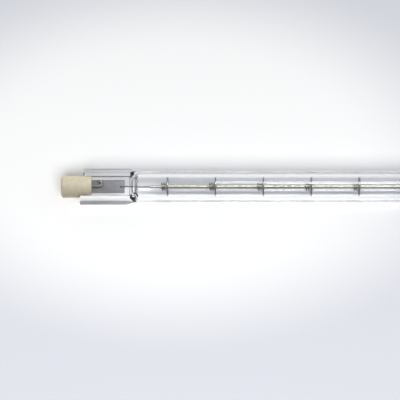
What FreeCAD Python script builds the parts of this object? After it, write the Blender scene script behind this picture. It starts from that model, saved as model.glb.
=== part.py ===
"""A double-ended linear halogen bulb: quartz tube, pressed ends, coiled filament, ceramic caps.

The bulb lies along X with its tube's lowest line on Z = 0. Every piece is drawn about the bulb's
own axis and then lifted by the tube's outer radius. The left end is drawn, and the right end
mirrors it. All lengths are millimetres.
"""
import FreeCAD, Part
import math
import os
import Sketcher

SIZES = [
    ("overall_length", 189.1, "over the end faces of both caps"),
    ("tube_outer", 10.0, "outer diameter of the quartz tube"),
    ("tube_wall", 1.8, "wall of the quartz tube"),
    ("seal_start", 6.0, "end face of the cap to the near corner of the press seal"),
    ("seal_skew", 1.2, "how far the other corner of the press seal stands back"),
    ("seal_length", 16.3, "near corner of the press seal to the shoulder's wall"),
    ("rail_width", 2.05, "width of each thick rail beside the web"),
    ("rail_thickness", 4.4, "thickness of the press seal over its rails"),
    ("rail_round", 1.6, "corner radius along the rails"),
    ("web_thickness", 2.6, "thickness of the flat web between the rails"),
    ("taper_length", 2.4, "stretch over which the near rail runs in to the tube"),
    ("rail_step", 0.4, "stretch over which the far rail drops to the tube at the shoulder"),
    ("shoulder_round", 1.4, "radius where the tube turns in to the press seal"),
    ("shoulder_slope", 0.6, "length of the slope from the shoulder down to the web"),
    ("cavity_wall", 1.0, "glass between the shoulder's wall and the end of the bore"),
    ("cavity_slope", 1.5, "width of the sloped edge at each end of the bore"),
    ("tip_offset", 46.0, "middle of the tube to the tipped-off exhaust nub"),
    ("tip_base", 3.4, "diameter of the exhaust nub where it leaves the tube"),
    ("tip_end", 1.1, "diameter of the exhaust nub just below its rounded end"),
    ("tip_height", 1.7, "height of the exhaust nub above the tube"),
    ("cap_outer", 7.0, "diameter of the ceramic cap"),
    ("cap_length", 9.7, "length of the ceramic cap"),
    ("cap_chamfer", 0.4, "chamfer round the cap's outer end"),
    ("cap_crown", 0.25, "how far the cap's end face crowns"),
    ("leg_draft", 0.15, "how far the outside of the cap's legs draws in to their tips"),
    ("cap_side_gap", 0.2, "gap between the cap and the rails beside it"),
    ("recess_diameter", 4.0, "bore of the cap's end recess"),
    ("recess_depth", 1.7, "end face of the cap down to the contact"),
    ("contact_seat", 3.2, "bore in the recess's floor that the contact's head sits in"),
    ("contact_thickness", 0.9, "thickness of the contact's head"),
    ("contact_dimple", 0.25, "depth of the dished middle of the contact"),
    ("contact_gap", 0.05, "clearance between the contact and the cap"),
    ("contact_chamfer", 0.2, "chamfer round the contact's head"),
    ("stem_room", 1.0, "end of the contact's stem to the bottom of the cap's slot"),
    ("stem_wall", 0.4, "wall of the contact's crimped stem"),
    ("cement_bed", 0.2, "thickness of the cement between the cap's slot and the seal"),
    ("cement_setback", 0.3, "how far the cement stays in from the cap's outside"),
    ("foil_width", 4.2, "width of the sealing foil"),
    ("foil_thickness", 0.04, "thickness of the sealing foil"),
    ("foil_inset", 2.15, "shoulder's wall to the inner end of the foil"),
    ("foil_margin", 1.75, "outer end of the foil to the set-back corner of the press seal"),
    ("foil_gap", 0.01, "clearance between the foil and the glass"),
    ("outer_lead", 0.9, "diameter of the outer lead"),
    ("outer_weld", 4.4, "length of the outer lead that lies on the foil"),
    ("inner_lead", 0.5, "diameter of the inner lead"),
    ("inner_weld", 1.5, "length of the inner lead that lies on the foil"),
    ("lead_gap", 0.03, "clearance round a lead"),
    ("coil_outer", 1.9, "outer diameter of the filament coil"),
    ("coil_wire", 0.3, "diameter of the filament's wire"),
    ("lead_span", 4.4, "end of the bore to the filament's tail, where the inner lead is bare"),
    ("coil_tail", 3.4, "length of the narrow tail wound on the inner lead"),
    ("coil_neck", 0.6, "stretch over which the coil draws in to its tail"),
    ("support_inset", 2.05, "end of the coil to the ring of the support nearest it"),
    ("support_wire", 0.45, "diameter of a support's wire"),
    ("support_turn", 0.75, "advance of a support's winding in one turn"),
    ("support_grip", 0.02, "clearance between a support's winding and the coil"),
    ("support_play", 0.05, "clearance between a support's ring and the bore"),
]
SUPPORT_COUNT = 9
WOUND_TURNS = 2.25
SPIRAL_TURNS = 0.25
RING_TURNS = 0.8
SECTIONS_A_TURN = 9
SECTION_SIDES = 5
PAST = 2.0

doc = FreeCAD.newDocument("LinearHalogenBulb")
sheet = doc.addObject("Spreadsheet::Sheet", "Sizes")


class Size:
    """A length that knows both its number and the sheet expression that gives it."""

    def __init__(self, value, text):
        self.value = value
        self.text = text

    def joined(self, other, sign, value):
        text = other.text if isinstance(other, Size) else repr(other)
        return Size(value, "(%s %s %s)" % (self.text, sign, text))

    def __add__(self, other):
        return self.joined(other, "+", self.value + number(other))

    def __sub__(self, other):
        return self.joined(other, "-", self.value - number(other))

    def __mul__(self, other):
        return self.joined(other, "*", self.value * number(other))

    def __truediv__(self, other):
        return self.joined(other, "/", self.value / number(other))

    def __neg__(self):
        return Size(-self.value, "(-1 * %s)" % self.text)


def number(length):
    return length.value if isinstance(length, Size) else length


def expression(length):
    return length.text if isinstance(length, Size) else repr(float(length))


def smaller(first, second):
    """The smaller of two sizes, for a rounding that its wall limits."""
    text = "min(%s; %s)" % (first.text, second.text)
    return Size(min(first.value, second.value), text)


def fill_sheet():
    """Writes each driving size into its own named cell, and gives the sizes by name."""
    named = {}
    for row, (name, value, meaning) in enumerate(SIZES, start=1):
        sheet.set("A%d" % row, name)
        sheet.set("B%d" % row, str(value))
        sheet.set("C%d" % row, meaning)
        sheet.setAlias("B%d" % row, name)
    doc.recompute()
    for name, _, _ in SIZES:
        named[name] = Size(float(sheet.get(name)), "Sizes." + name)
    return named


def bind(item, **sizes):
    """Ties properties of an object to the sheet; a double underscore stands for a dot."""
    for name, length in sizes.items():
        item.setExpression(name.replace("__", "."), expression(length))


def body(name):
    return doc.addObject("PartDesign::Body", name)


def blank_sketch(owner, name, plane, offset):
    """An empty sketch on one of the body's own planes, moved along that plane's normal."""
    sketch = owner.newObject("Sketcher::SketchObject", name)
    planes = [item for item in owner.Origin.OriginFeatures if item.Role == plane + "_Plane"]
    sketch.AttachmentSupport = [(planes[0], "")]
    sketch.MapMode = "FlatFace"
    bind(sketch, AttachmentOffset__Base__z=offset)
    return sketch


def pin_point(sketch, geometry, end, across, up):
    """Holds one end of a line or arc at its place from the sketch's origin."""
    for kind, length in (("DistanceX", across), ("DistanceY", up)):
        rule = Sketcher.Constraint(kind, -1, 1, geometry, end, float(number(length)))
        place = sketch.addConstraint(rule)
        sketch.setExpression("Constraints[%d]" % place, expression(length))


def arc_between(start, end, radius, turn):
    """The arc of under half a turn from start to end; turn is 1 if it runs anticlockwise."""
    chord = end - start
    half = chord.Length / 2
    rise = math.sqrt(max(radius ** 2 - half ** 2, 0))
    side = FreeCAD.Vector(-chord.y, chord.x, 0).normalize()
    centre = start + chord / 2 + side * rise * turn
    first, last = (start, end) if turn > 0 else (end, start)
    angles = [math.atan2(point.y - centre.y, point.x - centre.x) for point in (first, last)]
    circle = Part.Circle(centre, FreeCAD.Vector(0, 0, 1), radius)
    return Part.ArcOfCircle(circle, angles[0], angles[1])


def outline(owner, name, plane, corners, offset=0):
    """A closed sketch through the corners. A corner is (across, up), reached by a line, or
    (across, up, radius, turn), reached by an arc."""
    sketch = blank_sketch(owner, name, plane, offset)
    add_loop(sketch, corners)
    return sketch


def add_loop(sketch, corners):
    points = [FreeCAD.Vector(number(c[0]), number(c[1]), 0) for c in corners]
    ends = []
    for index, corner in enumerate(corners):
        start, end = points[index - 1], points[index]
        if len(corner) == 2:
            geometry = sketch.addGeometry(Part.LineSegment(start, end), False)
            ends.append((geometry, 1, 2))
            continue
        radius, turn = corner[2:]
        arc = arc_between(start, end, number(radius), turn)
        geometry = sketch.addGeometry(arc, False)
        ends.append((geometry, 1, 2) if turn > 0 else (geometry, 2, 1))
        place = sketch.addConstraint(Sketcher.Constraint("Radius", geometry, number(radius)))
        sketch.setExpression("Constraints[%d]" % place, expression(radius))
    for index, (geometry, _, last) in enumerate(ends):
        following, first, _ = ends[(index + 1) % len(ends)]
        sketch.addConstraint(Sketcher.Constraint("Coincident", geometry, last, following, first))
        pin_point(sketch, geometry, last, *corners[index][:2])


def circle(owner, name, plane, up, diameter, offset):
    """A sketch of one circle whose centre stands on the sketch's upright axis."""
    sketch = blank_sketch(owner, name, plane, offset)
    centre = FreeCAD.Vector(0, number(up), 0)
    shape = Part.Circle(centre, FreeCAD.Vector(0, 0, 1), number(diameter) / 2)
    geometry = sketch.addGeometry(shape, False)
    pin_point(sketch, geometry, 3, 0, up)
    place = sketch.addConstraint(Sketcher.Constraint("Diameter", geometry, number(diameter)))
    sketch.setExpression("Constraints[%d]" % place, expression(diameter))
    return sketch


def revolved(owner, name, sketch, axis="H_Axis"):
    feature = owner.newObject("PartDesign::Revolution", name)
    feature.Profile = sketch
    feature.ReferenceAxis = (sketch, [axis])
    feature.Angle = 360
    return feature


def padded(owner, name, sketch, length):
    feature = owner.newObject("PartDesign::Pad", name)
    feature.Profile = sketch
    bind(feature, Length=length)
    return feature


def pocketed(owner, name, sketch, length, upward=False, midplane=False):
    """Cuts below the sketch, above it if upward, or half to each side of it."""
    feature = owner.newObject("PartDesign::Pocket", name)
    feature.Profile = sketch
    feature.Reversed = upward
    feature.Midplane = midplane
    bind(feature, Length=length)
    return feature


def boolean(kind, name, **inputs):
    feature = doc.addObject("Part::" + kind, name)
    for slot, value in inputs.items():
        setattr(feature, slot, value)
    return feature


def mirrored(source, name):
    """The same piece at the bulb's other end."""
    feature = doc.addObject("Part::Mirroring", name)
    feature.Source = source
    feature.Normal = FreeCAD.Vector(1, 0, 0)
    return feature


def rod(name, diameter, start, end, up):
    """A round body along X from start to end, with its centre line at the height up."""
    owner = body(name)
    padded(owner, name + "Pad", circle(owner, name + "Section", "YZ", up, diameter, start), end - start)
    return owner


size = fill_sheet()
half_length = size["overall_length"] / 2
tube_radius = size["tube_outer"] / 2
bore_radius = tube_radius - size["tube_wall"]
cap_radius = size["cap_outer"] / 2
recess_half = cap_radius + size["cap_side_gap"]
seal_half = recess_half + size["rail_width"]
web_half = size["web_thickness"] / 2
seal_end = half_length - size["seal_start"]
shoulder = seal_end - size["seal_length"]
tube_end = shoulder - size["shoulder_round"]
bore_end = shoulder - size["cavity_wall"]
bore_straight = bore_end - size["cavity_slope"]
cap_inner = half_length - size["cap_length"]
contact_face = half_length - size["recess_depth"]
contact_back = contact_face - size["contact_thickness"]
slot_half = web_half + size["cement_bed"]
slot_bottom = seal_end + size["cement_bed"]
foil_top = -size["inner_lead"] / 2
foil_bottom = foil_top - size["foil_thickness"]
foil_inner = shoulder + size["foil_inset"]
foil_outer = seal_end - size["seal_skew"] - size["foil_margin"]
lead_tip = foil_outer - size["outer_weld"]
inner_tip = foil_inner + size["inner_weld"]
outer_height = foil_top + size["outer_lead"] / 2
socket_radius = outer_height + size["outer_lead"] / 2 + size["lead_gap"]
stem_radius = socket_radius + size["stem_wall"]
stem_bore = stem_radius + size["contact_gap"]
stem_end = slot_bottom + size["stem_room"]
tail_bore = size["inner_lead"] / 2 + size["lead_gap"]
tail_end = bore_end - size["lead_span"]
tail_start = tail_end - size["coil_tail"]
coil_end = tail_start - size["coil_neck"]
coil_radius = size["coil_outer"] / 2


def press_seal():
    """One pressed end: two thick rails joined by a thin web, cut askew at its outer end."""
    owner = body("PressSeal")
    rounding = smaller(size["rail_round"], size["rail_thickness"] * 0.45)
    thick = size["rail_thickness"] / 2
    side = seal_half - rounding
    level = thick - rounding
    section = [
        (side, -thick), (seal_half, -level, rounding, 1),
        (seal_half, level), (side, thick, rounding, 1),
        (-side, thick), (-seal_half, level, rounding, 1),
        (-seal_half, -level), (-side, -thick, rounding, 1),
    ]
    start = -seal_end
    far_corner = start + size["seal_skew"]
    bar = outline(owner, "SealSection", "YZ", section, start)
    padded(owner, "SealBar", bar, seal_end - tube_end + PAST)
    askew = [
        (start, -seal_half), (far_corner, seal_half), (far_corner, seal_half + PAST),
        (start - PAST, seal_half + PAST), (start - PAST, -seal_half),
    ]
    cut = outline(owner, "SkewOutline", "XY", askew)
    pocketed(owner, "SkewCut", cut, size["rail_thickness"] * 2, midplane=True)
    run_ins = (
        ("TaperFar", 1, shoulder, shoulder - size["rail_step"]),
        ("TaperNear", -1, tube_end + size["taper_length"], tube_end),
    )
    for name, sign, rail_end, foot in run_ins:
        sunk = (tube_radius - size["shoulder_round"]) * sign
        taper = [
            (-rail_end, seal_half * sign), (-foot, tube_radius * sign), (-tube_end + PAST, sunk),
            (-tube_end + PAST + PAST, sunk), (-tube_end + PAST + PAST, (seal_half + PAST) * sign),
            (-rail_end, (seal_half + PAST) * sign),
        ]
        cut = outline(owner, name + "Outline", "XY", taper)
        pocketed(owner, name, cut, size["rail_thickness"] * 2, midplane=True)
    for name, height, upward in (("WebTop", web_half, True), ("WebBottom", -web_half, False)):
        panel = [
            (start - PAST, -recess_half), (-shoulder, -recess_half),
            (-shoulder, recess_half), (start - PAST, recess_half),
        ]
        cut = outline(owner, name + "Outline", "XY", panel, height)
        pocketed(owner, name, cut, size["rail_thickness"], upward)
    return owner


def tube_blank():
    """The tube's outside, with a rounded shoulder and a slope down to the web at each end."""
    owner = body("TubeBlank")
    rounding = size["shoulder_round"]
    root = shoulder + size["shoulder_slope"]
    root_radius = web_half / 2
    half = [
        (-root, 0), (-root, root_radius), (-shoulder, tube_radius - rounding),
        (-tube_end, tube_radius, rounding, -1), (tube_end, tube_radius),
        (shoulder, tube_radius - rounding, rounding, -1), (root, root_radius), (root, 0),
    ]
    revolved(owner, "TubeTurned", outline(owner, "TubeProfile", "XZ", half))
    return owner


def tube_bore():
    """The gas space inside the tube, with sloped ends short of the press seals."""
    owner = body("TubeBore")
    narrow = bore_radius - size["cavity_slope"]
    half = [
        (-bore_end, 0), (-bore_end, narrow), (-bore_straight, bore_radius),
        (bore_straight, bore_radius), (bore_end, narrow), (bore_end, 0),
    ]
    revolved(owner, "BoreTurned", outline(owner, "BoreProfile", "XZ", half))
    return owner


def exhaust_nub():
    """The small pointed nub left where the exhaust tube was melted off, drawn on its own axis."""
    owner = body("ExhaustNub")
    base = size["tip_base"] / 2
    end = size["tip_end"] / 2
    foot = tube_radius - size["tube_wall"] * 0.75
    flank = tube_radius - size["tube_wall"] / 2
    peak = tube_radius + size["tip_height"]
    profile = [(0, foot), (base, foot), (base, flank), (end, peak - end), (end / 2, peak), (0, peak)]
    revolved(owner, "NubTurned", outline(owner, "NubProfile", "XZ", profile), "V_Axis")
    bind(owner, Placement__Base__x=size["tip_offset"])
    return owner


def foil(name, grown, lift):
    """The flat foil in the web, or the slot that it fills when it is grown by the clearance."""
    item = doc.addObject("Part::Box", name)
    bind(
        item,
        Length=foil_outer - foil_inner + grown * 2,
        Width=size["foil_width"] + grown * 2,
        Height=size["foil_thickness"] + grown * 2,
        Placement__Base__x=-foil_outer - grown,
        Placement__Base__y=-size["foil_width"] / 2 - grown,
        Placement__Base__z=foil_bottom - grown + lift,
    )
    return item


def quartz_envelope():
    """Tube, press seals and nub fused in one glass body, less its bore and what is sealed in it."""
    seal = press_seal()
    parts = [tube_blank(), seal, mirrored(seal, "PressSealFar"), exhaust_nub()]
    blank = boolean("MultiFuse", "EnvelopeBlank", Shapes=parts, Refine=True)
    gap = size["lead_gap"]
    outer_hole = size["outer_lead"] + gap * 2
    inner_hole = size["inner_lead"] + gap * 2
    hollows = [
        foil("FoilSlot", size["foil_gap"], 0),
        rod("OuterLeadHole", outer_hole, -seal_end - PAST, -lead_tip + gap, outer_height),
        rod("InnerLeadHole", inner_hole, -inner_tip - gap, -bore_end + PAST, 0),
    ]
    hollow = boolean("MultiFuse", "LeftHollows", Shapes=hollows)
    sealed = [tube_bore(), hollow, mirrored(hollow, "RightHollows")]
    inside = boolean("MultiFuse", "EnvelopeHollows", Shapes=sealed)
    return boolean("Cut", "QuartzEnvelope", Base=blank, Tool=inside), seal


def filament():
    """The coil as a plain hollow rod of its outer size, necked in to a tail at each end."""
    owner = body("Filament")
    inner = coil_radius - size["coil_wire"]
    tail = tail_bore + size["coil_wire"]
    profile = [
        (-tail_end, tail_bore), (-tail_end, tail), (-tail_start, tail), (-coil_end, coil_radius),
        (coil_end, coil_radius), (tail_start, tail), (tail_end, tail), (tail_end, tail_bore),
        (tail_start, tail_bore), (coil_end, inner), (-coil_end, inner), (-tail_start, tail_bore),
    ]
    revolved(owner, "CoilTurned", outline(owner, "CoilProfile", "XZ", profile))
    return owner


def support_point(turn):
    """A point of a support's centre line: wound on the coil, spiralling out, then ringed.

    The wire runs straight between its sections, so it comes nearest the coil halfway along.
    """
    wire = size["support_wire"].value / 2
    halfway = math.cos(math.pi / SECTIONS_A_TURN)
    wound = (coil_radius.value + size["support_grip"].value + wire) / halfway
    ring = bore_radius.value - size["support_play"].value - wire
    out = min(max((turn - WOUND_TURNS) / SPIRAL_TURNS, 0), 1)
    radius = wound + (ring - wound) * out * out * (3 - 2 * out)
    along = size["support_turn"].value * min(turn - WOUND_TURNS, 0)
    return FreeCAD.Vector(along, 0, 0) + outward(turn) * radius


def outward(turn):
    angle = 2 * math.pi * turn
    return FreeCAD.Vector(0, math.cos(angle), math.sin(angle))


def wire_section(turn):
    """The support wire's section, a small regular polygon square to the centre line."""
    wire = size["support_wire"].value / 2
    step = 0.01
    heading = (support_point(turn + step) - support_point(turn - step)).normalize()
    side = heading.cross(outward(turn)).normalize()
    up = side.cross(heading)
    corners = []
    for index in range(SECTION_SIDES + 1):
        angle = 2 * math.pi * index / SECTION_SIDES
        reach = up * math.cos(angle) + side * math.sin(angle)
        corners.append(support_point(turn) + reach * wire)
    return Part.makePolygon(corners)


def support_shape():
    """One support's wire, lofted straight from each section to the next."""
    turns = WOUND_TURNS + SPIRAL_TURNS + RING_TURNS
    steps = round(turns * SECTIONS_A_TURN)
    return Part.makeLoft([wire_section(turns * step / steps) for step in range(steps + 1)], True, True)


def supports():
    """Equally spaced supports, from one end of the coil to the other."""
    shape = support_shape()
    first = (size["support_inset"] - coil_end).value
    pitch = -2 * first / (SUPPORT_COUNT - 1)
    made = {}
    for place in range(SUPPORT_COUNT):
        order = place + 1
        item = doc.addObject("Part::Feature", "Support%d" % order)
        item.Shape = shape
        item.Placement.Base = FreeCAD.Vector(first + place * pitch, 0, tube_radius.value)
        made["support_%d" % order] = item
    return made


def ceramic_cap():
    """A round ceramic head with an end recess, on two legs that straddle the press seal."""
    owner = body("CeramicCap")
    chamfer = size["cap_chamfer"]
    crowned = half_length - size["cap_crown"]
    recess = size["recess_diameter"] / 2
    seat = size["contact_seat"] / 2
    profile = [
        (-cap_inner, stem_bore), (-cap_inner, cap_radius - size["leg_draft"]),
        (-seal_end, cap_radius), (-crowned + chamfer, cap_radius),
        (-crowned, cap_radius - chamfer), (-half_length, recess), (-contact_face, recess),
        (-contact_face, seat), (-contact_back, seat), (-contact_back, stem_bore),
    ]
    revolved(owner, "CapTurned", outline(owner, "CapProfile", "XZ", profile))
    wide = cap_radius + PAST
    slot = [
        (-slot_bottom, -wide), (-cap_inner + PAST, -wide),
        (-cap_inner + PAST, wide), (-slot_bottom, wide),
    ]
    cut = outline(owner, "SlotOutline", "XY", slot)
    pocketed(owner, "CapSlot", cut, slot_half * 2, midplane=True)
    return owner


def contact():
    """The metal contact: a dished head in the recess and a stem crimped on the outer lead."""
    owner = body("Contact")
    head = size["contact_seat"] / 2 - size["contact_gap"]
    chamfer = size["contact_chamfer"]
    dish = contact_face - size["contact_dimple"]
    profile = [
        (-contact_back, 0), (-contact_back, socket_radius), (-stem_end, socket_radius),
        (-stem_end, stem_radius), (-contact_back, stem_radius), (-contact_back, head),
        (-contact_face + chamfer, head), (-contact_face, head - chamfer),
        (-contact_face, head / 2), (-dish, head / 4), (-dish, 0),
    ]
    revolved(owner, "ContactTurned", outline(owner, "ContactProfile", "XZ", profile))
    return owner


def cement(seal):
    """The cement left between the cap's slot and the press seal, with the lead passing through."""
    filled_to = size["cap_outer"] - size["cement_setback"] * 2
    filled = rod("SlotFill", filled_to, -slot_bottom, -cap_inner, 0)
    slab = doc.addObject("Part::Box", "SlotSlab")
    bind(
        slab,
        Length=slot_bottom - cap_inner,
        Width=size["cap_outer"],
        Height=slot_half * 2,
        Placement__Base__x=-slot_bottom,
        Placement__Base__y=-cap_radius,
        Placement__Base__z=-slot_half,
    )
    plug = boolean("MultiCommon", "SlotPlug", Shapes=[filled, slab])
    passage = size["outer_lead"] + size["lead_gap"] * 2
    hole = rod("CementHole", passage, -slot_bottom - PAST, -slot_bottom + PAST, outer_height)
    taken = boolean("MultiFuse", "CementTaken", Shapes=[seal, hole])
    return boolean("Cut", "Cement", Base=plug, Tool=taken)


def assemble():
    """Every sub-part by its node's name, lifted so that the tube lies on Z = 0."""
    envelope, seal = quartz_envelope()
    outer = size["outer_lead"]
    lifted = {
        "quartz_envelope": envelope,
        "filament": filament(),
        "inner_lead_left": rod("InnerLead", size["inner_lead"], -inner_tip, -tail_start, 0),
        "outer_lead_left": rod("OuterLead", outer, -contact_back, -lead_tip, outer_height),
        "ceramic_cap_left": ceramic_cap(),
        "contact_left": contact(),
        "cement_left": cement(seal),
    }
    for item in lifted.values():
        bind(item, Placement__Base__z=tube_radius)
    nodes = dict(lifted)
    nodes["foil_left"] = foil("Foil", Size(0.0, "0"), tube_radius)
    for name in [name for name in nodes if name.endswith("_left")]:
        far = name.replace("_left", "_right")
        nodes[far] = mirrored(nodes[name], nodes[name].Name + "Far")
    nodes.update(supports())
    for name, item in nodes.items():
        item.Label = name
    return nodes


def export(nodes):
    """Recomputes, refuses anything broken, and writes one STEP file for each sub-part."""
    doc.recompute()
    for item in doc.Objects:
        if {"Invalid", "Error"} & set(item.State):
            raise RuntimeError("%s failed: %s" % (item.Name, item.State))
    os.makedirs("parts", exist_ok=True)
    for name, item in nodes.items():
        if item.Shape.isNull() or not item.Shape.isValid():
            raise RuntimeError("%s has no valid shape" % name)
        item.Shape.exportStep("parts/%s.step" % name)
        print("%-18s %9.3f mm3 %s" % (name, item.Shape.Volume, item.Shape.ShapeType))


export(assemble())
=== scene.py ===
# %% [markdown]
# # A double-ended halogen bulb
#
# The real bulb is a clear quartz tube with a fine coil of wire down its middle. Both ends of the
# tube are pressed flat round a strip of foil, and a slotted ceramic cap is cemented on each.
# The solids of the part are loaded first and stay where they are. Each piece below is then made
# in the same frame, in metres, so it needs no fitting: the bulb lies along X on the floor, Z = 0.

import math

import bmesh
import bpy
from mathutils import Matrix, Vector


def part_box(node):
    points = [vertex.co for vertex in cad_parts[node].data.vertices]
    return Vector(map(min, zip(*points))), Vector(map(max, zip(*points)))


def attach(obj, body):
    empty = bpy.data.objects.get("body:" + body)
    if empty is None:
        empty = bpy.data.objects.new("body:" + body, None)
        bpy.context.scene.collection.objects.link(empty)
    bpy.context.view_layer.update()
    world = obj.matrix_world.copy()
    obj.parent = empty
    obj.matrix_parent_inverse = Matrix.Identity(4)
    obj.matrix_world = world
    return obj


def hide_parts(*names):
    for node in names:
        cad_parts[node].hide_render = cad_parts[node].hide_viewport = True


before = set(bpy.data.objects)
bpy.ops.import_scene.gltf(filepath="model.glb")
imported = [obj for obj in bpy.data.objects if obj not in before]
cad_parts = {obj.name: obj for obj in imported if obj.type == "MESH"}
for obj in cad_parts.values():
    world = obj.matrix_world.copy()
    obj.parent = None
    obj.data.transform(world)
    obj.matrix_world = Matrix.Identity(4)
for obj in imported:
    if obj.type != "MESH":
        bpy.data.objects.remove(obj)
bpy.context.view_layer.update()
print("solids loaded:", len(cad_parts))

# %% [markdown]
# ## Sizes
#
# What the solids already say is read from their boxes: where the axis lies, how far the press
# seals and the caps reach, how long the coil is. Only sizes that no box gives are written here,
# in millimetres, so that a change of the part carries the looks along with it.

# %% Sizes read from the solids and sizes of the glass
MM = 0.001
MERGED_UNDER = 0.001 * MM
SIDES = {"left": -1, "right": 1}
WALL = 1.8 * MM
SEAL_LENGTH = 16.3 * MM

glass_low, glass_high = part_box("quartz_envelope")
coil_low, coil_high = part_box("filament")
cap_low, cap_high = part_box("ceramic_cap_right")
foil_low, foil_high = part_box("foil_right")

AXIS = (coil_low.z + coil_high.z) / 2
TUBE_R = AXIS - glass_low.z
BORE_R = TUBE_R - WALL
SEAL_END = glass_high.x
SEAL_HALF = glass_high.y
SEAL_SKEW = 1.2 * MM
SHOULDER = SEAL_END - SEAL_LENGTH
RAIL_HALF = 2.2 * MM
RAIL_WIDTH = 2.05 * MM
RAIL_ROUND = 1.6 * MM
WEB_HALF = 1.3 * MM
print("axis at", round(AXIS / MM, 2), "mm, seal to", round(SEAL_END / MM, 2), "mm")

# %% [markdown]
# ## Helpers for shapes
#
# Nearly every piece here is a loop of points carried along a path: the glass, the leads and the
# support wires. `next_loop` extrudes a loop once and sets the new points down, and `loft` calls
# it again and again. A curve with a bevel would do for the wires, but not for the glass, whose
# section changes from a circle to a flat bar, so one way serves all.

# %% Carry a loop of points along a path
def next_loop(bm, loop, places):
    """Extrudes a loop of vertices once and puts the new ones on their places."""
    edges = [bm.edges.get((loop[i - 1], loop[i])) for i in range(len(loop))]
    made = bmesh.ops.extrude_edge_only(bm, edges=edges)["geom"]
    made = {item for item in made if isinstance(item, bmesh.types.BMVert)}
    fresh = []
    for vert, place in zip(loop, places):
        other = [edge.other_vert(vert) for edge in vert.link_edges]
        fresh.append([item for item in other if item in made][0])
        fresh[-1].co = place
    return fresh


def loft(bm, loops):
    """Joins loops of places by faces, and closes both ends."""
    start = bmesh.ops.create_circle(bm, segments=len(loops[0]), radius=MM)["verts"]
    for vert, place in zip(start, loops[0]):
        vert.co = place
    first = [bm.edges.get((start[i - 1], start[i])) for i in range(len(start))]
    loop = start
    for places in loops[1:]:
        loop = next_loop(bm, loop, places)
    last = [bm.edges.get((loop[i - 1], loop[i])) for i in range(len(loop))]
    for edges in (first, last):
        bmesh.ops.contextual_create(bm, geom=edges)


def outward(bm):
    """Merges doubled points and turns every face outward."""
    bmesh.ops.remove_doubles(bm, verts=bm.verts, dist=MERGED_UNDER)
    bmesh.ops.recalc_face_normals(bm, faces=bm.faces)


# %% Turn a bmesh into an object, and an object into a finished piece
def as_object(bm, name):
    """Puts what a bmesh holds into the scene as an object."""
    mesh = bpy.data.meshes.new(name)
    bm.to_mesh(mesh)
    bm.free()
    made = bpy.data.objects.new(name, mesh)
    bpy.context.scene.collection.objects.link(made)
    return made


def piece(bm, name, material, slot, *nodes):
    """Makes an object of a bmesh, gives it its finish and puts it in place of its solids."""
    made = as_object(bm, name)
    made.data.shade_smooth()
    made.data.materials.append(material)
    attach(made, "root")
    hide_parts(*nodes)
    print(name, "faces:", len(made.data.polygons), "for", ", ".join(nodes))
    return made


# %% [markdown]
# ## Finishes
#
# A finish starts as a new material whose shader takes its steady values straight on its own
# sockets. Grain and colour changes come from noise read in Object coordinates, so they stay on
# the piece from every side. `grain` adds one such noise as bump, `ramp` mixes two colours, and
# `soft_step` marks off a stretch of a piece, such as its pressed ends.

# %% Start a finish and add grain to it
def finish(name, **values):
    """A material with its shader's steady values set; gives the material, nodes and shader."""
    made = bpy.data.materials.new(name)
    made.use_nodes = True
    shader = made.node_tree.nodes["Principled BSDF"]
    for label, value in values.items():
        shader.inputs[label.replace("_", " ")].default_value = value
    return made, made.node_tree, shader


def noise(tree, scale, detail=4.0, by_axis=(1, 1, 1)):
    """Noise in the piece's own coordinates: its features per metre, times a share by axis."""
    where = tree.nodes.new("ShaderNodeTexCoord")
    placed = tree.nodes.new("ShaderNodeMapping")
    placed.inputs["Scale"].default_value = by_axis
    made = tree.nodes.new("ShaderNodeTexNoise")
    made.inputs["Scale"].default_value = scale
    made.inputs["Detail"].default_value = detail
    tree.links.new(where.outputs["Object"], placed.inputs["Vector"])
    tree.links.new(placed.outputs["Vector"], made.inputs["Vector"])
    return made


def grain(tree, shader, source, strength, depth):
    """Bump from a noise, with depth in metres."""
    bump = tree.nodes.new("ShaderNodeBump")
    bump.inputs["Strength"].default_value = strength
    bump.inputs["Distance"].default_value = depth
    tree.links.new(source.outputs["Fac"], bump.inputs["Height"])
    tree.links.new(bump.outputs["Normal"], shader.inputs["Normal"])
    return bump


# %% Read a point's place and work with it
def coordinates(tree, kind="Object"):
    """The X, Y and Z of each point, as sockets."""
    where = tree.nodes.new("ShaderNodeTexCoord")
    parts = tree.nodes.new("ShaderNodeSeparateXYZ")
    tree.links.new(where.outputs[kind], parts.inputs["Vector"])
    return parts.outputs


def worked(tree, operation, *values):
    """One step of arithmetic on sockets or plain numbers."""
    made = tree.nodes.new("ShaderNodeMath")
    made.operation = operation
    for socket, value in zip(made.inputs, values):
        if isinstance(value, bpy.types.NodeSocket):
            tree.links.new(value, socket)
        else:
            socket.default_value = value
    return made.outputs["Value"]


def soft_step(tree, source, start, end, low=0, high=1):
    """A soft rise from low to high as the source goes from start to end."""
    made = tree.nodes.new("ShaderNodeMapRange")
    made.interpolation_type = "SMOOTHSTEP"
    for label, value in (("From Min", start), ("From Max", end), ("To Min", low), ("To Max", high)):
        made.inputs[label].default_value = value
    tree.links.new(source, made.inputs["Value"])
    return made.outputs["Result"]


# %% Mix colours
def ramp(tree, value, low, high, start=0, end=1):
    """Mixes two colours as a value goes from start to end."""
    made = tree.nodes.new("ShaderNodeValToRGB")
    stops = made.color_ramp.elements
    stops[0].position = start
    stops[1].position = end
    stops[0].color = (*low, 1)
    stops[1].color = (*high, 1)
    tree.links.new(value, made.inputs["Fac"])
    return made


# %% [markdown]
# ### Quartz
#
# Fused quartz is the clearest part of the bulb, so its colour is almost white and its light
# bends by 1.458. The drawn tube is smooth, and the pressed ends keep a trace of the tool as a
# soft ripple, so the ripple's strength fades in along X.

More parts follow.
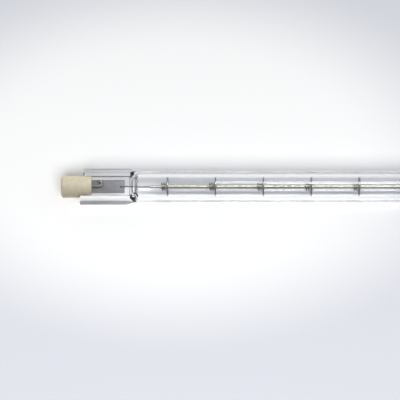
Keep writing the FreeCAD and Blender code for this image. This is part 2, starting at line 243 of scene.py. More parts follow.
# %% Quartz, rippled where it was pressed
QUARTZ_INDEX = 1.458
QUARTZ_COLOUR = (0.965, 0.97, 0.985)
RIPPLE_DEPTH = 0.06 * MM
RIPPLE_STRENGTH = 0.12
RIPPLE_FROM = SHOULDER - 3 * MM
RIPPLE_FULL = SHOULDER + 2 * MM

quartz, tree, shader = finish(
    "clear quartz",
    Base_Color=(*QUARTZ_COLOUR, 1),
    Roughness=0.0,
    IOR=QUARTZ_INDEX,
    Transmission_Weight=1.0,
)
place = coordinates(tree)
from_middle = worked(tree, "ABSOLUTE", place["X"])
ripple = noise(tree, scale=450, detail=2.0, by_axis=(0.35, 1, 1))
bump = grain(tree, shader, ripple, strength=0, depth=RIPPLE_DEPTH)
pressed = soft_step(tree, from_middle, RIPPLE_FROM, RIPPLE_FULL, 0, RIPPLE_STRENGTH)
tree.links.new(pressed, bump.inputs["Strength"])
print("quartz bends light by", QUARTZ_INDEX)

# %% [markdown]
# The long outer edges of the pressed ends get a duller face and a grey tint. They could be a piece
# of their own, but the glass is one piece, so three soft steps, in X, Y and Z, pick them out of it.
# The grey tint is painted shade: it darkens the rails as the dark surroundings seen in them would.

# %% Painted shade on the edges of the pressed ends
PAINTED_SHADE_COLOUR = (0.22, 0.225, 0.25)
EDGE_ROUGHNESS = 0.3
EDGE_IN_X = (SHOULDER - 1.4 * MM, SHOULDER - 1 * MM)
EDGE_IN_Y = (SEAL_HALF - 0.8 * MM, SEAL_HALF - 0.5 * MM)
EDGE_IN_Z = (AXIS - 0.9 * MM, AXIS - 0.4 * MM)

along = soft_step(tree, from_middle, *EDGE_IN_X)
beside = soft_step(tree, worked(tree, "ABSOLUTE", place["Y"]), *EDGE_IN_Y)
above = soft_step(tree, place["Z"], *EDGE_IN_Z)
# One mask gives the edges both their duller face and their painted shade, a dark grey tint.
edge = worked(tree, "MULTIPLY", worked(tree, "MULTIPLY", along, beside), above)
painted_shade_tint = ramp(tree, edge, QUARTZ_COLOUR, PAINTED_SHADE_COLOUR)
tree.links.new(painted_shade_tint.outputs["Color"], shader.inputs["Base Color"])
tree.links.new(worked(tree, "MULTIPLY", edge, EDGE_ROUGHNESS), shader.inputs["Roughness"])
print("grey edges from", round(EDGE_IN_Y[0] / MM, 2), "mm off the middle")

# %% [markdown]
# A renderer can't follow all the light that quartz bends onto the floor. For shadow rays only,
# the glass turns to a clear film, which is darker the more the light grazes it: a real tube's
# shadow has dark edges for that reason.

# %% A clear film for shadow rays
FILM_STRAIGHT = (0.96, 0.965, 0.975)
FILM_GRAZED = (0.5, 0.51, 0.53)
GRAZED_AT = 0.42

film = tree.nodes.new("ShaderNodeBsdfTransparent")
grazing = tree.nodes.new("ShaderNodeLayerWeight")
dimming = ramp(tree, grazing.outputs["Facing"], FILM_STRAIGHT, FILM_GRAZED, 0, GRAZED_AT)
tree.links.new(dimming.outputs["Color"], film.inputs["Color"])
rays = tree.nodes.new("ShaderNodeLightPath")
either = tree.nodes.new("ShaderNodeMixShader")
tree.links.new(rays.outputs["Is Shadow Ray"], either.inputs["Fac"])
tree.links.new(shader.outputs["BSDF"], either.inputs[1])
tree.links.new(film.outputs["BSDF"], either.inputs[2])
tree.links.new(either.outputs["Shader"], tree.nodes["Material Output"].inputs["Surface"])
print("film lets through", FILM_STRAIGHT[0], "straight and", FILM_GRAZED[0], "grazed")

# %% [markdown]
# ### Metals
#
# Four metals lie inside: the coil, the support wire, the satin grey foil with its leads, and the
# plated contacts. The coil and the supports are both tungsten, painted in two shades: the coil near
# white and warm, a painted highlight, and the supports darker, a painted shade. The foil is nearly
# fully metallic, and the others are fully so.
# Drawing and rolling leave lines, so the noise on the leads and the foil is longer along X.
# The outer end of the foil has tarnished, which is a slow change along X.

# %% Shade a finish with noise
def shades(tree, shader, source, dark, pale, start=0.35, end=0.65):
    """Colours the shader between two shades, as a noise goes from start to end."""
    made = ramp(tree, source.outputs["Fac"], dark, pale, start, end)
    tree.links.new(made.outputs["Color"], shader.inputs["Base Color"])
    return made


# %% Coil, support and lead wire
# Painted highlight: the coil's tungsten is painted near white and warm, and mottled at random.
painted_bright_wire, tree, shader = finish("tungsten painted bright", Metallic=1.0, Roughness=0.2)
mottle = noise(tree, scale=2500)
shades(tree, shader, mottle, dark=(0.84, 0.82, 0.72), pale=(0.93, 0.91, 0.81))
grain(tree, shader, noise(tree, scale=9000), strength=0.15, depth=0.01 * MM)

# Painted shade: the same tungsten on the supports is painted darker, and mottled at random.
painted_dark_wire, tree, shader = finish("tungsten painted dark", Metallic=1.0, Roughness=0.12)
mottle = noise(tree, scale=1800)
shades(tree, shader, mottle, dark=(0.36, 0.35, 0.33), pale=(0.5, 0.48, 0.44))
grain(tree, shader, noise(tree, scale=7000), strength=0.2, depth=0.01 * MM)

lead_wire, tree, shader = finish("drawn molybdenum", Metallic=1.0, Roughness=0.35)
streaks = noise(tree, scale=900, detail=3.0, by_axis=(0.2, 1, 1))
shades(tree, shader, streaks, dark=(0.17, 0.165, 0.16), pale=(0.34, 0.32, 0.31))
grain(tree, shader, noise(tree, scale=5000), strength=0.2, depth=0.01 * MM)
print("wires:", painted_bright_wire.name, painted_dark_wire.name, lead_wire.name, sep=", ")

# %% Contact plating
plated, tree, shader = finish("plated contact", Metallic=1.0, Roughness=0.28)
mottle = noise(tree, scale=700)
shades(tree, shader, mottle, dark=(0.52, 0.5, 0.45), pale=(0.66, 0.64, 0.6))
grain(tree, shader, noise(tree, scale=4000), strength=0.15, depth=0.02 * MM)
print("plating:", plated.name)

# %% Rolled foil, tarnished towards the cap
TARNISH = (0.72, 0.77, 0.68)
TARNISH_LENGTH = 8 * MM

sheet_metal, tree, shader = finish("rolled foil", Metallic=0.85, Roughness=0.5)
mottle = noise(tree, scale=500, detail=5.0, by_axis=(0.5, 1.5, 1))
rolled = shades(tree, shader, mottle, dark=(0.14, 0.14, 0.15), pale=(0.19, 0.185, 0.2))
from_middle = worked(tree, "ABSOLUTE", coordinates(tree)["X"])
tarnished = soft_step(tree, from_middle, foil_high.x - TARNISH_LENGTH, foil_high.x - MM)
tarnish = tree.nodes.new("ShaderNodeMix")
tarnish.data_type = "RGBA"
tarnish.blend_type = "MULTIPLY"
tarnish.inputs["B"].default_value = (*TARNISH, 1)
tree.links.new(tarnished, tarnish.inputs["Factor"])
tree.links.new(rolled.outputs["Color"], tarnish.inputs["A"])
tree.links.new(tarnish.outputs["Result"], shader.inputs["Base Color"])
lines = noise(tree, scale=1500, detail=3.0, by_axis=(0.3, 1, 1))
grain(tree, shader, lines, strength=0.25, depth=0.03 * MM)
print("foil tarnished over", round(TARNISH_LENGTH / MM, 1), "mm")

# %% [markdown]
# ### Ceramic and cement
#
# Steatite is pressed as powder and fired, and isn't glazed. It is cream, matte and faintly
# speckled, with a fine grain that only shows close up. The cement is the same sort of stuff,
# coarser and greyer.

# %% Ceramic and cement
STEATITE_DARK = (0.69, 0.61, 0.45)
STEATITE_PALE = (0.755, 0.675, 0.505)

ceramic, tree, shader = finish("cream steatite", Roughness=0.62)
speckle = noise(tree, scale=900, detail=6.0)
shades(tree, shader, speckle, STEATITE_DARK, STEATITE_PALE, start=0.4, end=0.6)
powder = noise(tree, scale=3500, detail=5.0)
grain(tree, shader, powder, strength=0.3, depth=0.03 * MM)

grout, tree, shader = finish("rough cement", Roughness=0.9)
speckle = noise(tree, scale=1500, detail=6.0)
shades(tree, shader, speckle, dark=(0.5, 0.46, 0.4), pale=(0.62, 0.58, 0.5))
powder = noise(tree, scale=2500, detail=6.0)
grain(tree, shader, powder, strength=0.8, depth=0.08 * MM)
print("fired and set:", ceramic.name, "and", grout.name)

# %% [markdown]
# ## The quartz tube and its pressed ends
#
# On the real bulb this is one piece of glass. A plain tube is heated at each end and two jaws
# press it flat, which leaves two thick rails with a thin web between them and a steep shoulder
# where the tube begins. Cutting this out of a block would lose the soft corners, so a loop of
# points is carried from one end to the other instead: it starts as the pressed section, opens
# into a circle over the shoulder, and is pressed again at the other end.
#
# A quarter of the loop holds five stretches: the side of the rail, its round corner, its top,
# the step down and the web. Each share below says where on the quarter a stretch ends.

# %% Places round the pressed section
LOOP_POINTS = 160
SIDE_SHARE = 0.06
CORNER_SHARE = 0.36
RAIL_SHARE = 0.44
STEP_SHARE = 0.62
STEP_HALF = 0.6 * MM


def eased(value):
    """A soft rise from 0 to 1."""
    value = min(max(value, 0), 1)
    return value * value * (3 - 2 * value)


def between(low, high, value):
    """How far a value has come on the way from low to high."""
    return (value - low) / (high - low)


def pressed_place(share):
    """A quarter of the pressed section, from the rail's side to the middle of the web."""
    inner = SEAL_HALF - RAIL_WIDTH
    if share < SIDE_SHARE:
        return SEAL_HALF, (RAIL_HALF - RAIL_ROUND) * share / SIDE_SHARE
    if share < CORNER_SHARE:
        turn = between(SIDE_SHARE, CORNER_SHARE, share) * math.pi / 2
        flat = SEAL_HALF - RAIL_ROUND
        return flat + RAIL_ROUND * math.cos(turn), RAIL_HALF - RAIL_ROUND * (1 - math.sin(turn))
    if share < RAIL_SHARE:
        part = between(CORNER_SHARE, RAIL_SHARE, share)
        return (SEAL_HALF - RAIL_ROUND) * (1 - part) + (inner + STEP_HALF) * part, RAIL_HALF
    if share < STEP_SHARE:
        part = between(RAIL_SHARE, STEP_SHARE, share)
        fall = eased(part) * (RAIL_HALF - WEB_HALF)
        return inner + STEP_HALF * (1 - 2 * part), RAIL_HALF - fall
    return (inner - STEP_HALF) * (1 - between(STEP_SHARE, 1, share)), WEB_HALF


# %% [markdown]
# The two edges of the tube don't widen alike. On the far side the rail starts with a step, and
# on the near side it runs in over a few millimetres. The end of the seal is cut askew.

# %% One loop of the glass
SHOULDER_ROUND = 1.4 * MM
SHOULDER_SLOPE = 0.6 * MM
NEAR_TAPER = 3.4 * MM
FAR_STEP = 0.4 * MM
tube_end = SHOULDER - SHOULDER_ROUND


def glass_loop(x, side):
    """The loop at a distance x from the middle, on the side -1 or 1."""
    web = eased(between(tube_end, SHOULDER + SHOULDER_SLOPE, x))
    near = eased(between(tube_end, tube_end + NEAR_TAPER, x))
    far = eased(between(SHOULDER - FAR_STEP, SHOULDER, x))
    askew = eased(between(SHOULDER, SEAL_END, x))
    places = []
    for i in range(LOOP_POINTS):
        quarter, share = divmod(4 * i / LOOP_POINTS, 1)
        share = share if quarter in (0, 2) else 1 - share
        across = 1 if quarter in (0, 3) else -1
        up = 1 if quarter in (0, 1) else -1
        widen = far if across > 0 else near
        y, z = pressed_place(share)
        turn = share * math.pi / 2
        y = y * widen + TUBE_R * math.cos(turn) * (1 - widen)
        z = z * web + TUBE_R * math.sin(turn) * (1 - web)
        back = askew * SEAL_SKEW * (1 + across * y / SEAL_HALF) / 2
        places.append(Vector((side * (x - back), across * y, AXIS + up * z)))
    return places


# %% [markdown]
# Loops only need to stand close where the section changes, at the nub and over the shoulder.
# Each stretch below has its start and the step between its loops, and ends where the next one
# starts.

# %% Where the loops stand
def spread(start, end, step):
    """Places from start to end, about a step apart."""
    count = max(round((end - start) / step), 1)
    return [start + (end - start) * k / count for k in range(count)]


ROUNDED = 0.3 * MM
NUB_X = 46 * MM
NUB_REACH = 2.2 * MM
stretch_starts = [0, NUB_X - NUB_REACH, NUB_X + NUB_REACH]
stretch_starts += [tube_end, SHOULDER + 1.2 * MM, SHOULDER + 4 * MM]
stretch_ends = stretch_starts[1:] + [SEAL_END - ROUNDED]
stretch_steps = [12 * MM, 0.15 * MM, 8 * MM, 0.08 * MM, 0.25 * MM, 0.6 * MM]
stations = []
for start, end, step in zip(stretch_starts, stretch_ends, stretch_steps):
    stations += spread(start, end, step)
print("loops on each half of the glass:", len(stations))

# %% The rounded end of a pressed seal
END_STEPS = 4


def end_loops(side):
    """The last loops, drawn in round the edge of the end face."""
    whole = glass_loop(SEAL_END, side)
    loops = []
    for k in range(END_STEPS + 1):
        turn = k / END_STEPS * math.pi / 2
        drawn = ROUNDED * (1 - math.cos(turn))
        shift = side * ROUNDED * (1 - math.sin(turn))
        loop = []
        for place in whole:
            y = place.y * (1 - drawn / SEAL_HALF)
            z = AXIS + (place.z - AXIS) * (1 - drawn / RAIL_HALF)
            loop.append(Vector((place.x - shift, y, z)))
        loops.append(loop)
    return loops


# %% Loft the outside
body = bmesh.new()
left_loops = [glass_loop(x, -1) for x in reversed(stations[1:])]
right_loops = [glass_loop(x, 1) for x in stations]
loft(body, list(reversed(end_loops(-1))) + left_loops + right_loops + end_loops(1))
outward(body)
print("outside of the glass:", len(body.faces), "faces")

# %% [markdown]
# ### The exhaust nub
#
# The tube is pumped out and filled through a thin side tube, which is then melted off. That
# leaves a small glass point. It is one with the tube, so the wall itself is drawn up: points
# near the middle of the nub rise most, along a curve that is steep below and round on top.

# %% Draw the nub out of the wall
NUB_HEIGHT = glass_high.z - AXIS - TUBE_R
NUB_FLANK = 1.1
NUB_STEEPNESS = 1.35
raised = 0
for vert in body.verts:
    away = math.hypot(vert.co.x - NUB_X, vert.co.y)
    if vert.co.z < AXIS + TUBE_R / 2 or away > NUB_REACH:
        continue
    level = AXIS + math.sqrt(TUBE_R ** 2 - vert.co.y ** 2)
    rise = max(1 - (away / NUB_REACH) ** NUB_FLANK, 0)
    vert.co.z = level + (AXIS + TUBE_R + NUB_HEIGHT - level) * eased(rise) ** NUB_STEEPNESS
    raised += 1
print("points drawn into the nub:", raised)

# %% [markdown]
# ### The bore
#
# The gas space is a second, inner surface of the same glass. It is spun from half its outline
# about the axis, and its faces are turned inward, because the glass lies outside them. It ends
# in a soft dome just short of the pressed part.

# %% Spin the bore
BORE_END = SHOULDER - 1.0 * MM
DOME = 1.6 * MM
DOME_STEPS = 12
DOME_FULLNESS = 0.7
BORE_STEPS = 128

bore = bmesh.new()
outline = [Vector((-BORE_END, 0, AXIS))]
for k in range(1, DOME_STEPS + 1):
    turn = k / DOME_STEPS * math.pi / 2
    radius = BORE_R * math.sin(turn) ** DOME_FULLNESS
    outline.append(Vector((-BORE_END + DOME * (1 - math.cos(turn)), 0, AXIS + radius)))
outline += [Vector((-place.x, 0, place.z)) for place in reversed(outline)]
points = [bore.verts.new(place) for place in outline]
edges = [bore.edges.new(pair) for pair in zip(points, points[1:])]
bmesh.ops.spin(
    bore,
    geom=points + edges,
    cent=(0, 0, AXIS),
    axis=(1, 0, 0),
    angle=2 * math.pi,
    steps=BORE_STEPS,
    use_merge=True,
)
outward(bore)
bmesh.ops.reverse_faces(bore, faces=bore.faces)
inner_skin = bpy.data.meshes.new("bore")
bore.to_mesh(inner_skin)
bore.free()
body.from_mesh(inner_skin)
bpy.data.meshes.remove(inner_skin)
piece(body, "quartz_tube", quartz, "quartz_glass", "quartz_envelope")

# %% [markdown]
# ## The coil
#
# The filament is one wire wound hundreds of times, and drawn in at each end to a narrow tail on
# the lead. All turns are alike, so only one is spun, with a step along the axis, and an Array
# modifier repeats it and welds the turns. The ends are then drawn in by moving each point
# towards the axis, which doesn't squeeze the wire.

# %% Apply modifiers
def settled(made):
    """Applies an object's modifiers to its mesh."""
    graph = bpy.context.evaluated_depsgraph_get()
    mesh = bpy.data.meshes.new_from_object(made.evaluated_get(graph))
    made.modifiers.clear()
    made.data = mesh


# %% Wind one turn and repeat it
COIL_WIRE_R = 0.15 * MM
COIL_PITCH = 0.32 * MM
STEPS_A_TURN = 16
WIRE_SIDES = 6
coil_r = coil_high.z - AXIS - COIL_WIRE_R
coil_turns = int((coil_high.x - coil_low.x - 2 * COIL_WIRE_R) / COIL_PITCH)

turn = bmesh.new()
section = bmesh.ops.create_circle(turn, segments=WIRE_SIDES, radius=COIL_WIRE_R)["verts"]
bmesh.ops.rotate(turn, verts=section, matrix=Matrix.Rotation(math.pi / 2, 3, "X"))
bmesh.ops.translate(turn, verts=section, vec=(-coil_turns * COIL_PITCH / 2, 0, AXIS + coil_r))
bmesh.ops.spin(
    turn,
    geom=list(turn.verts) + list(turn.edges),
    cent=(0, 0, AXIS),
    axis=(1, 0, 0),
    dvec=(COIL_PITCH / STEPS_A_TURN, 0, 0),
    angle=2 * math.pi,
    steps=STEPS_A_TURN,
)
bmesh.ops.recalc_face_normals(turn, faces=turn.faces)
filament = piece(turn, "tungsten_coil", painted_bright_wire, "tungsten_coil", "filament")
repeat = filament.modifiers.new("turns", "ARRAY")
repeat.count = coil_turns
repeat.use_relative_offset = False
repeat.use_constant_offset = True
repeat.constant_offset_displace = (COIL_PITCH, 0, 0)
repeat.use_merge_vertices = True
repeat.merge_threshold = MERGED_UNDER
settled(filament)
print("turns wound:", coil_turns, "faces:", len(filament.data.polygons))

# %% Draw the ends in to their tails
TAIL = 3.4 * MM
NECK = 0.6 * MM
TAIL_R = 0.43 * MM
coil = bmesh.new()
coil.from_mesh(filament.data)
for vert in coil.verts:
    away = Vector((0, vert.co.y, vert.co.z - AXIS))
    inward = eased(between(coil_high.x - TAIL - NECK, coil_high.x - TAIL, abs(vert.co.x)))
    vert.co -= away.normalized() * (coil_r - TAIL_R) * inward
ends = [edge for edge in coil.edges if edge.is_boundary]
bmesh.ops.holes_fill(coil, edges=ends)
outward(coil)
coil.to_mesh(filament.data)
coil.free()
filament.data.shade_smooth()
print("tails drawn in over", round(TAIL / MM, 1), "mm")

# %% [markdown]
# ## The supports
#
# A long coil would sag when hot, so a stiffer wire is wound on it every 15 mm and spirals out
# to a ring that rests in the tube. All nine are bent on one tool, so one function makes them,
# and each takes its place from its own solid. `wire` sets a round loop square to the path at
# each of its points and lofts them.

# %% A round wire along a list of points
def wire(path, radius, sides, away):
    """A bmesh of a round wire; away(point) gives a direction square to the path there."""
    loops = []
    for i, point in enumerate(path):
        ahead = path[min(i + 1, len(path) - 1)] - path[max(i - 1, 0)]
        side = ahead.cross(away(point)).normalized()
        up = side.cross(ahead).normalized()
        turns = [2 * math.pi * k / sides for k in range(sides)]
        loops.append([point + (up * math.cos(t) + side * math.sin(t)) * radius for t in turns])
    bm = bmesh.new()
    loft(bm, loops)
    outward(bm)
    return bm


# %% The path of a support wire
WOUND_TURNS = 2.25
SPIRAL_TURNS = 0.3
RING_TURNS = 0.8
SUPPORT_WIRE_R = 0.225 * MM
SUPPORT_SIDES = 10
SUPPORT_STEP = 0.75 * MM
COIL_GAP = 0.02 * MM
RING_GAP = 0.05 * MM
RING_SHIFT = 0.2 * MM
RING_STEPS = 28


def support_path(ring_x):
    """The centre line: wound on the coil, out in a spiral, then round the tube."""
    wound = coil_high.z - AXIS + SUPPORT_WIRE_R + COIL_GAP
    ring = BORE_R - SUPPORT_WIRE_R - RING_GAP
    turns = WOUND_TURNS + SPIRAL_TURNS + RING_TURNS
    path = []
    for k in range(round(turns * RING_STEPS) + 1):
        turn = k / RING_STEPS
        out = eased((turn - WOUND_TURNS) / SPIRAL_TURNS)
        radius = wound + (ring - wound) * out
        x = ring_x + (SUPPORT_STEP * min(turn - WOUND_TURNS, 0) + RING_SHIFT * (out - 1))
        angle = 2 * math.pi * turn
        path.append(Vector((x, radius * math.cos(angle), AXIS + radius * math.sin(angle))))
    return path


# %% Wind the nine supports
SUPPORTS = 9


def from_axis(point):
    """The direction from the axis out to a point."""
    return Vector((0, point.y, point.z - AXIS)).normalized()


for number in range(1, SUPPORTS + 1):
    node = f"support_{number}"
    path = support_path(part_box(node)[1].x - SUPPORT_WIRE_R)
    bm = wire(path, SUPPORT_WIRE_R, SUPPORT_SIDES, from_axis)
    piece(bm, f"support_wire_{number}", painted_dark_wire, "tungsten_wire", node)

# %% [markdown]
# ## Foil and leads
#
# Quartz can't be sealed round a thick wire, so the current passes through a foil thinner than a
# hair that is pressed into the web. A thin lead comes to it from the coil and a thicker one
# from the contact. The foil is a grid with slight waves, given its thickness last.

# %% Waves in the foil
FOIL_WAVE = 0.012 * MM
LONG_WAVES = 17
LONG_SPREAD = 5
SHORT_WAVES = 41
SHORT_SLANT = 9
SHORT_SHARE = 0.6


def foil_wave(along, across):
    """The height of the foil's waves, which die out towards its two long edges."""
    long_wave = math.sin(along * LONG_WAVES) * math.cos(across * LONG_SPREAD)
    short_wave = math.sin(along * SHORT_WAVES + across * SHORT_SLANT)
    wave = long_wave + SHORT_SHARE * short_wave
    return wave * FOIL_WAVE * (1 - abs(across) * 2)


# %% Roll the foils
FOIL_CELLS = (60, 24)
foil_length = foil_high.x - foil_low.x
foil_width = foil_high.y - foil_low.y
foil_thickness = foil_high.z - foil_low.z
foil_level = (foil_low.z + foil_high.z) / 2
for side, sign in SIDES.items():
    bm = bmesh.new()
    bmesh.ops.create_grid(bm, x_segments=FOIL_CELLS[0], y_segments=FOIL_CELLS[1], size=0.5)
    for vert in bm.verts:
        along, across = vert.co.x, vert.co.y
        vert.co.x = sign * (foil_low.x + (along + 0.5) * foil_length)
        vert.co.y = across * foil_width
        vert.co.z = foil_level + foil_wave(along, across)
    bmesh.ops.recalc_face_normals(bm, faces=bm.faces)
    bmesh.ops.solidify(bm, geom=bm.faces, thickness=foil_thickness)
    bmesh.ops.recalc_face_normals(bm, faces=bm.faces)
    piece(bm, f"sealing_foil_{side}", sheet_metal, "molybdenum_foil", f"foil_{side}")

# %% [markdown]
# The outer lead is bent to a small hook where it is welded, which spreads its grip on the foil.
# Its path is a straight run and an arc, and the same `wire` as above gives it thickness. The
# inner lead is thin and runs straight from its weld to the coil's tail.

# %% Paths of the leads
HOOK_R = 0.85 * MM
HOOK_TURN = 1.15 * math.pi
HOOK_STEPS = 18


def overhead(point):
    """Straight up: the leads lie flat, so up is square to them."""
    return Vector((0, 0, 1))


def straight(start, end, level, steps):
    """Points along the bulb from start to end."""
    return [Vector((start + (end - start) * k / steps, 0, level)) for k in range(steps + 1)]


def hook(bend, sign, level):
    """Points of the hook that goes on from the bend."""
    points = []
    for k in range(1, HOOK_STEPS + 1):
        turn = HOOK_TURN * k / HOOK_STEPS
        x = bend - sign * HOOK_R * math.sin(turn)
        points.append(Vector((x, HOOK_R * (1 - math.cos(turn)), level)))
    return points


# %% Bend the outer leads and draw the inner ones
OUTER_STEPS = 12
OUTER_SIDES = 16
INNER_STEPS = 24
INNER_SIDES = 12
for side, sign in SIDES.items():
    low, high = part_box(f"outer_lead_{side}")
    radius = (high.y - low.y) / 2
    level = (low.z + high.z) / 2
    tip, root = sorted((low.x, high.x), key=abs)
    bend = tip + sign * (HOOK_R + radius)
    path = straight(root, bend, level, OUTER_STEPS) + hook(bend, sign, level)
    bm = wire(path, radius, OUTER_SIDES, overhead)
    piece(bm, f"outer_wire_{side}", lead_wire, "molybdenum_wire", f"outer_lead_{side}")

    low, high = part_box(f"inner_lead_{side}")
    radius = (high.y - low.y) / 2
    bm = wire(straight(low.x, high.x, AXIS, INNER_STEPS), radius, INNER_SIDES, overhead)
    piece(bm, f"inner_wire_{side}", lead_wire, "tungsten_wire", f"inner_lead_{side}")

# %% [markdown]
# ## Ceramic caps
#
# A cap is a fired ring with a recess for the contact and two legs that straddle the seal. It is
# spun from its outline and slotted by a boolean, because a slot cut through a round part leaves
# curved edges that are hard to place by hand. A bevel then takes the sharpness off all edges,
# as tumbling does to the real ones.

# %% Outline of a cap
CAP_CHAMFER = 0.4 * MM
CAP_CROWN = 0.25 * MM
CROWN_MIDDLE = 0.3
RECESS_R = 2.0 * MM
RECESS_DEPTH = 1.7 * MM
SEAT_R = 1.6 * MM
SEAT_DEPTH = 0.9 * MM
STEM_BORE = 1.13 * MM
SLOT_HALF = WEB_HALF + 0.2 * MM
SLOT_BOTTOM = SEAL_END + 0.2 * MM
LEG_DRAFT = 0.15 * MM
cap_end = cap_high.x
cap_inner = cap_low.x
cap_r = cap_high.y
cap_outline = [
    (cap_inner, STEM_BORE),
    (cap_inner, cap_r - LEG_DRAFT),
    (SEAL_END, cap_r),
    (cap_end - CAP_CROWN - CAP_CHAMFER, cap_r),
    (cap_end - CAP_CROWN, cap_r - CAP_CHAMFER),
    (cap_end - CAP_CROWN * CROWN_MIDDLE, (cap_r + RECESS_R) / 2),
    (cap_end, RECESS_R),
    (cap_end - RECESS_DEPTH, RECESS_R),
    (cap_end - RECESS_DEPTH, SEAT_R),
    (cap_end - RECESS_DEPTH - SEAT_DEPTH, SEAT_R),
    (cap_end - RECESS_DEPTH - SEAT_DEPTH, STEM_BORE),
]
print("points round the outline of a cap:", len(cap_outline))

# %% Spin an outline about the axis
def spun(outline, sign, steps):
    """A bmesh spun about the bulb's axis from a closed outline of (distance, radius)."""
    bm = bmesh.new()
    points = [bm.verts.new((sign * x, 0, AXIS + r)) for x, r in outline]
    edges = [bm.edges.new((points[i - 1], points[i])) for i in range(len(points))]
    bmesh.ops.spin(
        bm,
        geom=points + edges,
        cent=(0, 0, AXIS),
        axis=(1, 0, 0),
        angle=2 * math.pi,
        steps=steps,
        use_merge=True,
    )
    outward(bm)
    return bm


# %% The block that cuts a slot
SLOT_OVERHANG = 2 * MM
slot_length = SLOT_BOTTOM - cap_inner + SLOT_OVERHANG
slot_size = (slot_length, 3 * cap_r, 2 * SLOT_HALF)


def slot_block(sign):
    """A block that is wider than the cap and goes from the slot's bottom past the legs."""
    bm = bmesh.new()
    block = bmesh.ops.create_cube(bm, size=1)["verts"]
    bmesh.ops.scale(bm, verts=block, vec=slot_size)
    bmesh.ops.translate(bm, verts=block, vec=(sign * (SLOT_BOTTOM - slot_length / 2), 0, AXIS))
    return as_object(bm, "slot")


# %% Spin, slot and soften the caps
CAP_STEPS = 96
CAP_SOFT = 0.12 * MM
CAP_SOFT_SEGMENTS = 3
CAP_SOFT_ABOVE = math.radians(32)
for side, sign in SIDES.items():
    bm = spun(cap_outline, sign, CAP_STEPS)
    cap = piece(bm, f"cap_{side}", ceramic, "steatite_ceramic", f"ceramic_cap_{side}")
    cutter = slot_block(sign)
    cut = cap.modifiers.new("slot", "BOOLEAN")
    cut.operation = "DIFFERENCE"
    cut.solver = "EXACT"
    cut.object = cutter
    soft = cap.modifiers.new("softened", "BEVEL")
    soft.width = CAP_SOFT
    soft.segments = CAP_SOFT_SEGMENTS
    soft.angle_limit = CAP_SOFT_ABOVE
    settled(cap)
    cap.data.shade_smooth()
    bpy.data.objects.remove(cutter)
    print("cap", side, "faces:", len(cap.data.polygons))

# %% [markdown]
# ## Contacts and cement
#
# The contact is a small plated rivet: a dished head in the recess, and a hollow stem that is
# crimped on the lead. It is spun like the cap, with its rim rounded in the outline. The cement
# in the slot already has its form in the solids, so it only takes a rougher finish.

# %% Outline of a contact
HEAD_R = SEAT_R - 0.05 * MM
STEM_R = 1.08 * MM
STEM_INNER = 0.68 * MM
STEM_END = SLOT_BOTTOM + 1.0 * MM
RIM = 0.2 * MM
RIM_STEPS = 4
DISH = 0.25 * MM
DISH_STEPS = 8
contact_face = cap_end - RECESS_DEPTH
contact_back = contact_face - SEAT_DEPTH
contact_outline = [(contact_back, 0), (contact_back, STEM_INNER), (STEM_END, STEM_INNER)]
contact_outline += [(STEM_END, STEM_R), (contact_back, STEM_R), (contact_back, HEAD_R)]
for k in range(RIM_STEPS + 1):
    turn = k / RIM_STEPS * math.pi / 2
    x = contact_face - RIM * (1 - math.sin(turn))
    contact_outline.append((x, HEAD_R - RIM * (1 - math.cos(turn))))
for k in range(1, DISH_STEPS + 1):
    share = 1 - k / DISH_STEPS
    x = contact_face - DISH * (1 - eased(share))
    contact_outline.append((x, (HEAD_R - RIM) * share))
print("points round the outline of a contact:", len(contact_outline))

# %% Spin the contacts
CONTACT_STEPS = 64
for side, sign in SIDES.items():
    bm = spun(contact_outline, sign, CONTACT_STEPS)
    piece(bm, f"contact_rivet_{side}", plated, "contact_metal", f"contact_{side}")

# %% Cement keeps its solid and takes its finish
for side in SIDES:
    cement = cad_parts[f"cement_{side}"]
    cement.data.materials.clear()
    cement.data.materials.append(grout)
    print("cement finished:", cement.name)

# %% [markdown]
# ## Floor, light and camera
#
# The picture looks down on a white sheet, from a little towards the near side. The light is
# broad: a pale room that is dark on the near side, brightest overhead and somewhat dimmer far
# out, and one long window above, which draws the bright line on the glass and the coil. A second
# soft light from the near side falls on the sheet alone and gives it the shadow along the far
# edge of the bulb.

# %% White sheet with a painted pool of light
SHEET_HALF = 1.5
PAINTED_LIGHT_MIDDLE = (-0.058, 0.012, 0)
PAINTED_LIGHT_REACH = (0.109, 0.0675, 1)
PAINTED_LIGHT_FULL = 0.5
PAINTED_DIM_OUTSIDE = (0.62, 0.63, 0.68)
SHEET_MIDDLE = (0.86, 0.86, 0.86)

bm = bmesh.new()
bmesh.ops.create_grid(bm, x_segments=1, y_segments=1, size=SHEET_HALF)
floor = as_object(bm, "floor")

# The sheet's colour greys away from one middle spot. This is painted falloff of light, a pool of
# light painted on the sheet, not a change in the sheet itself.
paper, tree, shader = finish("white sheet", Roughness=0.8)
where = tree.nodes.new("ShaderNodeTexCoord")
placed = tree.nodes.new("ShaderNodeMapping")
placed.vector_type = "TEXTURE"
placed.inputs["Location"].default_value = PAINTED_LIGHT_MIDDLE
placed.inputs["Scale"].default_value = PAINTED_LIGHT_REACH
painted_light_pool = tree.nodes.new("ShaderNodeTexGradient")
painted_light_pool.gradient_type = "SPHERICAL"
tree.links.new(where.outputs["Object"], placed.inputs["Vector"])
tree.links.new(placed.outputs["Vector"], painted_light_pool.inputs["Vector"])
white = ramp(tree, painted_light_pool.outputs["Fac"], PAINTED_DIM_OUTSIDE, SHEET_MIDDLE, 0, PAINTED_LIGHT_FULL)
white.color_ramp.interpolation = "EASE"
tree.links.new(white.outputs["Color"], shader.inputs["Base Color"])
floor.data.materials.append(paper)
print("sheet:", 2 * SHEET_HALF, "m wide")

# %% Pale room, dark on the near side
ROOM_COLOUR = (0.97, 0.985, 1.0)

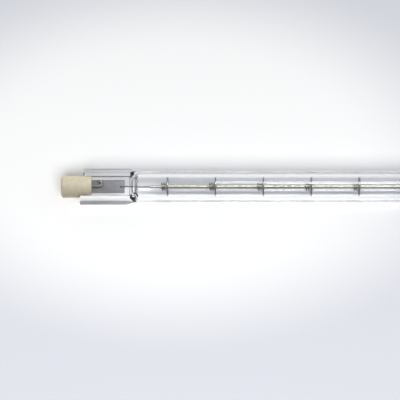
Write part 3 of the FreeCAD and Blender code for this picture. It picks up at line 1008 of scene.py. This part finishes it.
room = bpy.data.worlds.new("pale room")
bpy.context.scene.world = room
room.use_nodes = True
tree = room.node_tree
sky = tree.nodes["Background"]
sky.inputs["Color"].default_value = (*ROOM_COLOUR, 1)
outwards = coordinates(tree, "Generated")["Y"]
near_side = soft_step(tree, outwards, start=-0.65, end=-0.15, low=0.08, high=0.64)
far_side = soft_step(tree, outwards, start=0.3, end=0.85, low=1.0, high=0.6)
tree.links.new(worked(tree, "MULTIPLY", near_side, far_side), sky.inputs["Strength"])
print("room:", room.name)

# %% A light for some objects only
def area_light(name, place, target, width, height, power, receivers):
    """A rectangular light that shines only on what receivers names."""
    data = bpy.data.lights.new(name, "AREA")
    data.shape = "RECTANGLE"
    data.size = width
    data.size_y = height
    data.energy = power
    made = bpy.data.objects.new(name, data)
    bpy.context.scene.collection.objects.link(made)
    made.location = place
    made.rotation_euler = (Vector(target) - Vector(place)).to_track_quat("-Z", "Y").to_euler()
    lit = bpy.data.collections.new(name + " lights")
    for item in receivers:
        lit.objects.link(item)
    made.light_linking.receiver_collection = lit
    print("light", name, "on", len(receivers), "objects")


# %% Hang the window and the sheet light
WINDOW_START = -0.041
WINDOW_END = 0.36
WINDOW_HEIGHT = 0.15
WINDOW_POWER = 2.2
WINDOW_AWAY = 0.6
WINDOW_TILT = math.radians(17)
SHEET_LIGHT_PLACE = (-0.05, -0.318, 0.509)
SHEET_LIGHT_AIM = (-0.05, 0, 0)
SHEET_LIGHT_SIZE = (0.5, 0.3)
SHEET_LIGHT_POWER = 3.4

window_x = (WINDOW_START + WINDOW_END) / 2
window_y = WINDOW_AWAY * math.sin(WINDOW_TILT)
window_z = WINDOW_AWAY * math.cos(WINDOW_TILT)
bulb = [item for item in bpy.context.scene.objects if item.type == "MESH" and item != floor]
area_light(
    "window",
    place=(window_x, window_y, window_z),
    target=(window_x, 0, AXIS),
    width=WINDOW_END - WINDOW_START,
    height=WINDOW_HEIGHT,
    power=WINDOW_POWER,
    receivers=bulb,
)
area_light(
    "sheet light",
    place=SHEET_LIGHT_PLACE,
    target=SHEET_LIGHT_AIM,
    width=SHEET_LIGHT_SIZE[0],
    height=SHEET_LIGHT_SIZE[1],
    power=SHEET_LIGHT_POWER,
    receivers=[floor],
)

# %% [markdown]
# The camera stands well back, so there is little perspective. It looks down from 15 degrees
# towards the near side, with the bulb's left end in view. The picture's scale and the place of
# the bulb in it set the rest.

# %% Camera
PICTURE = 400
SCALE = 0.3175 * MM
LEFT_END_PIXEL = 61.2
AXIS_PIXEL = 186.8
CAMERA_AWAY = 0.615
CAMERA_TILT = math.radians(15)
SENSOR = 36.0
view_x = -cap_end + (PICTURE / 2 - LEFT_END_PIXEL) * SCALE
towards = Vector((0, -math.sin(CAMERA_TILT), math.cos(CAMERA_TILT)))
upward = Vector((0, math.cos(CAMERA_TILT), math.sin(CAMERA_TILT)))
target = Vector((view_x, 0, AXIS)) - upward * (PICTURE / 2 - AXIS_PIXEL) * SCALE
lens = bpy.data.cameras.new("camera")
lens.sensor_width = SENSOR
lens.lens = SENSOR * CAMERA_AWAY / (PICTURE * SCALE)
lens.clip_start = 0.01
lens.clip_end = 10
camera = bpy.data.objects.new("camera", lens)
bpy.context.scene.collection.objects.link(camera)
camera.location = target + towards * CAMERA_AWAY
camera.rotation_euler = (CAMERA_TILT, 0, 0)
bpy.context.scene.camera = camera
bpy.context.scene.view_settings.view_transform = "Standard"
print("lens", round(lens.lens, 1), "mm")
